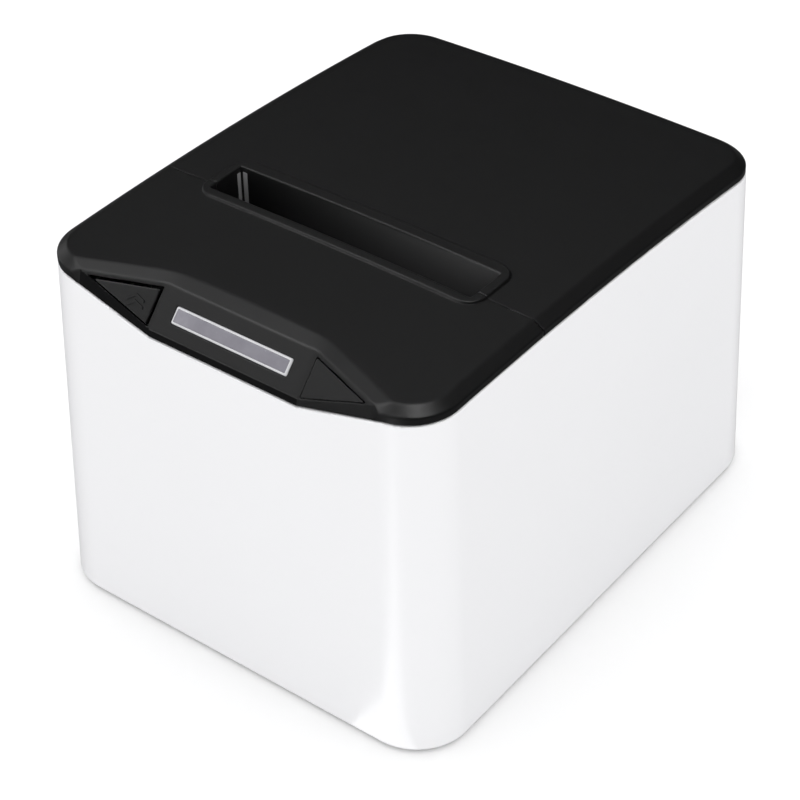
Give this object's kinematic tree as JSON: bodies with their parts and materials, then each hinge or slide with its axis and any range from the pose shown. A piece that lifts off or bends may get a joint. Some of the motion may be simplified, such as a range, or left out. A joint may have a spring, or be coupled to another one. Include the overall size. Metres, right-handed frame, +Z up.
{
  "type": "receipt printer",
  "caption": "Thermal receipt printer with a hinged lid over its paper bucket, a raised paper slot, a front scoop with two keys and a status window.",
  "frame": {"origin": "centre of the overall box at the table, under the rubber feet", "axes": "+Z up, +X to the right seen from the front, the front with the keys faces -Y"},
  "size_m": [0.148, 0.1844, 0.1257],
  "materials": {
    "white_casing": "fine moulded texture",
    "black_cover": "fine moulded texture",
    "black_key": "satin",
    "window": "frosted lavender grey",
    "dark_plastic": "moulded",
    "ivory_plastic": "moulded acetal",
    "rubber": "matt",
    "steel": "zinc plated sheet",
    "bright_steel": "ground",
    "aluminium": "extruded",
    "brass": "turned",
    "board_green": "solder mask",
    "motor_can": "satin",
    "ribbon": "polyimide film",
    "led": "clear epoxy",
    "ceramic": "glazed"
  },
  "bodies": {
    "base": {"body_shell": "white_casing", "base_plate": "dark_plastic", "rubber_feet": "rubber", "base_screws": "steel", "front_cover": "black_cover", "window_lens": "window", "panel_board": "board_green", "status_leds": "led", "feed_switch": "dark_plastic", "chassis": "dark_plastic", "hinge_pins": "bright_steel", "paper_sensor": "dark_plastic", "mech_frame": "steel", "mech_screws": "steel", "head_pin": "bright_steel", "head_springs": "bright_steel", "head_ribbon": "ribbon", "idler_pin": "bright_steel", "step_motor": "motor_can", "cutter_frame": "steel", "cutter_motor": "motor_can", "tear_bar": "bright_steel", "main_board": "board_green", "power_jack": "dark_plastic", "drawer_port": "dark_plastic", "lan_port": "steel", "usb_port": "steel", "rear_panel": "dark_plastic", "switch_body": "dark_plastic", "buzzer": "dark_plastic", "board_screws": "brass"},
    "lid": {"lid_cover": "black_cover", "lid_liner": "dark_plastic", "lid_screws": "steel", "platen_bushes": "ivory_plastic", "counter_blade": "bright_steel", "latch_pins": "bright_steel"},
    "platen": {"platen_roller": "rubber", "platen_shaft": "bright_steel", "platen_gear": "ivory_plastic"},
    "idler": {"idler_gear": "ivory_plastic"},
    "motor_rotor": {"motor_pinion": "brass"},
    "print_head": {"head_heatsink": "aluminium", "thermal_head": "ceramic"},
    "blade": {"moving_blade": "bright_steel"},
    "cutter_gear": {"cutter_drive": "ivory_plastic"},
    "cutter_rotor": {"cutter_pinion": "brass"},
    "feed_key": {"feed_key": "black_key"},
    "release_key": {"release_key": "black_key"},
    "latch": {"latch_bar": "ivory_plastic"},
    "rocker": {"power_rocker": "black_key"}
  },
  "joints": [
    {"name": "lid_hinge", "type": "hinge", "parent": "base", "child": "lid", "pos_m": [0, 0.0848, 0.102], "axis": [-1, 0, 0], "range_deg": [0, 85]},
    {"name": "platen_spin", "type": "hinge", "parent": "lid", "child": "platen", "pos_m": [0, -0.0275, 0.092], "axis": [1, 0, 0], "continuous": true},
    {"name": "idler_spin", "type": "hinge", "parent": "base", "child": "idler", "pos_m": [0, -0.0275, 0.07932], "axis": [1, 0, 0], "continuous": true},
    {"name": "motor_spin", "type": "hinge", "parent": "base", "child": "motor_rotor", "pos_m": [0, -0.0275, 0.06964], "axis": [1, 0, 0], "continuous": true},
    {"name": "head_pivot", "type": "hinge", "parent": "base", "child": "print_head", "pos_m": [0, -0.038, 0.081], "axis": [1, 0, 0], "range_deg": [0, 2.5], "stiffness_Nm_per_rad": 0.6},
    {"name": "cutter_turn", "type": "hinge", "parent": "base", "child": "cutter_gear", "pos_m": [0.02372, -0.059, 0.1], "axis": [0, 0, 1], "range_deg": [0, 51.8]},
    {"name": "blade_slide", "type": "slide", "parent": "base", "child": "blade", "axis": [0, 1, 0], "range_m": [0, 0.0065]},
    {"name": "cutter_pinion_turn", "type": "hinge", "parent": "base", "child": "cutter_rotor", "pos_m": [0.01164, -0.059, 0.1], "axis": [0, 0, 1], "range_deg": [-78, 0]},
    {"name": "feed_press", "type": "slide", "parent": "base", "child": "feed_key", "axis": [-0.2267, 0.7127, -0.6638], "range_m": [0, 0.0008], "stiffness_N_per_m": 400},
    {"name": "release_press", "type": "slide", "parent": "base", "child": "release_key", "axis": [0.2267, 0.7127, -0.6638], "range_m": [0, 0.0015], "stiffness_N_per_m": 400},
    {"name": "latch_turn", "type": "hinge", "parent": "base", "child": "latch", "pos_m": [0, -0.03, 0.05], "axis": [1, 0, 0], "range_deg": [0, 2]},
    {"name": "power_rock", "type": "hinge", "parent": "base", "child": "rocker", "pos_m": [0.055, 0.0852, 0.05], "axis": [1, 0, 0], "range_deg": [0, 18]}
  ],
  "couplings": [
    {"joint": "idler_spin", "follows": "platen_spin", "ratio": -1.1},
    {"joint": "motor_spin", "follows": "platen_spin", "ratio": 1.8333},
    {"joint": "cutter_turn", "follows": "blade_slide", "rad_per_m": 138.89},
    {"joint": "cutter_pinion_turn", "follows": "blade_slide", "rad_per_m": -208.33},
    {"joint": "latch_turn", "follows": "release_press", "rad_per_m": 19.444}
  ]
}
